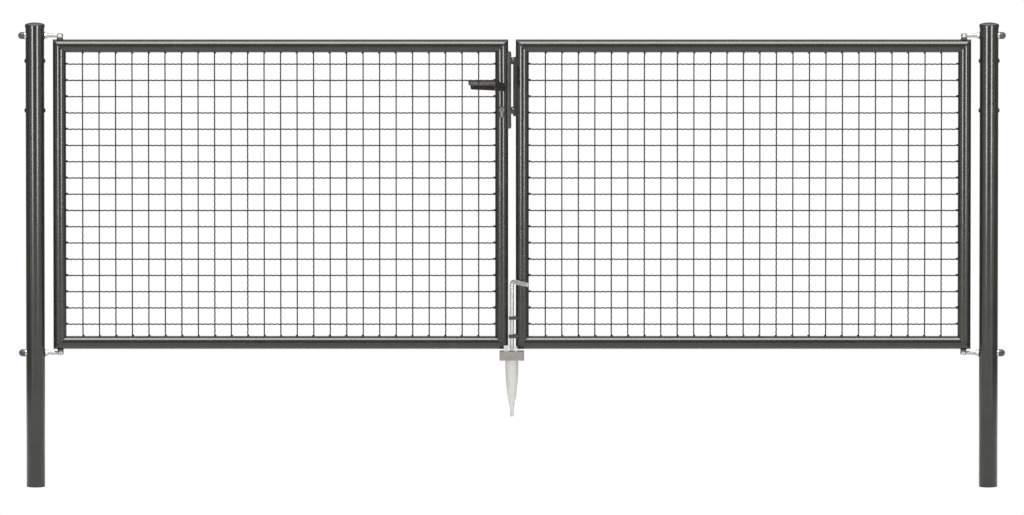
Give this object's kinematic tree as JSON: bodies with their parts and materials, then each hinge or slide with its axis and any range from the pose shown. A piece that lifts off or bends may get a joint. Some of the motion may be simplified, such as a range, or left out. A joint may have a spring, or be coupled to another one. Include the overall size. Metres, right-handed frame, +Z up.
{
  "type": "double mesh gate",
  "caption": "Double swing gate of round steel tube with crimped wire mesh, hung on adjustable eye bolts between two posts, with a lever lock and a drop bolt with a ground socket.",
  "frame": {"origin": "centre of the left post's foot face", "axes": "+X from the left post to the right post, +Y away from the viewer, the way both leaves open, +Z up"},
  "size_m": [3.167, 0.1325, 1.4995],
  "materials": {
    "powder_coat": "semi-gloss grey-green powder coat over steel tube",
    "coated_mesh": "semi-gloss powder coat over crimped steel wire",
    "zinc_plate": "bright zinc plated steel",
    "galvanised": "hot-dip galvanised steel, matt",
    "black_plastic": "satin moulded black plastic",
    "lever_plastic": "satin brown-black lacquer over cast handle",
    "forend_coat": "semi-gloss grey lacquer over steel strip",
    "keeper_plastic": "satin dark green-grey moulded plastic",
    "lock_steel": "plain rolled steel",
    "cylinder_nickel": "satin nickel on brass"
  },
  "bodies": {
    "posts": {"left_post": "powder_coat", "left_post_cap": "powder_coat", "left_post_plugs": "black_plastic", "left_upper_eye_bolt": "zinc_plate", "left_lower_eye_bolt": "zinc_plate", "left_hinge_nuts": "zinc_plate", "left_hinge_saddles": "black_plastic", "left_hinge_washers": "zinc_plate", "left_dome_nuts": "black_plastic", "right_post": "powder_coat", "right_post_cap": "powder_coat", "right_post_plugs": "black_plastic", "right_upper_eye_bolt": "zinc_plate", "right_lower_eye_bolt": "zinc_plate", "right_hinge_nuts": "zinc_plate", "right_hinge_saddles": "black_plastic", "right_hinge_washers": "zinc_plate", "right_dome_nuts": "black_plastic", "ground_socket": "galvanised"},
    "left_leaf": {"left_hinge_pins": "zinc_plate", "left_hinge_spacers": "black_plastic", "left_hinge_stile": "powder_coat", "left_lock_stile": "powder_coat", "left_top_rail": "powder_coat", "left_bottom_rail": "powder_coat", "left_mesh_outer": "coated_mesh", "left_mesh_inner": "coated_mesh", "lock_forend": "forend_coat", "lock_case": "lock_steel", "lock_bolts": "zinc_plate", "lock_cylinder": "cylinder_nickel"},
    "lever": {"front_lever": "lever_plastic", "rear_lever": "lever_plastic", "lever_spindle": "lock_steel"},
    "right_leaf": {"right_hinge_pins": "zinc_plate", "right_hinge_spacers": "black_plastic", "right_hinge_stile": "powder_coat", "right_keeper_stile": "powder_coat", "right_top_rail": "powder_coat", "right_bottom_rail": "powder_coat", "right_mesh_outer": "coated_mesh", "right_mesh_inner": "coated_mesh", "keeper": "keeper_plastic", "keeper_bolts": "black_plastic", "keeper_washers": "zinc_plate", "bolt_guides": "powder_coat"},
    "drop_bolt": {"drop_bolt": "zinc_plate"}
  },
  "joints": [
    {"name": "left_leaf_swing", "type": "hinge", "parent": "posts", "child": "left_leaf", "pos_m": [0.0805, 0, 0.945], "axis": [0, 0, 1], "range_deg": [0, 120]},
    {"name": "right_leaf_swing", "type": "hinge", "parent": "posts", "child": "right_leaf", "pos_m": [2.9795, 0, 0.945], "axis": [0, 0, -1], "range_deg": [0, 120]},
    {"name": "lever_press", "type": "hinge", "parent": "left_leaf", "child": "lever", "pos_m": [1.497, 0, 1.295], "axis": [0, -1, 0], "range_deg": [0, 40], "stiffness_Nm_per_rad": 1, "springref_deg": -28.65},
    {"name": "drop_bolt_slide", "type": "slide", "parent": "right_leaf", "child": "drop_bolt", "axis": [0, 0, 1], "range_m": [-0.101, 0]}
  ]
}
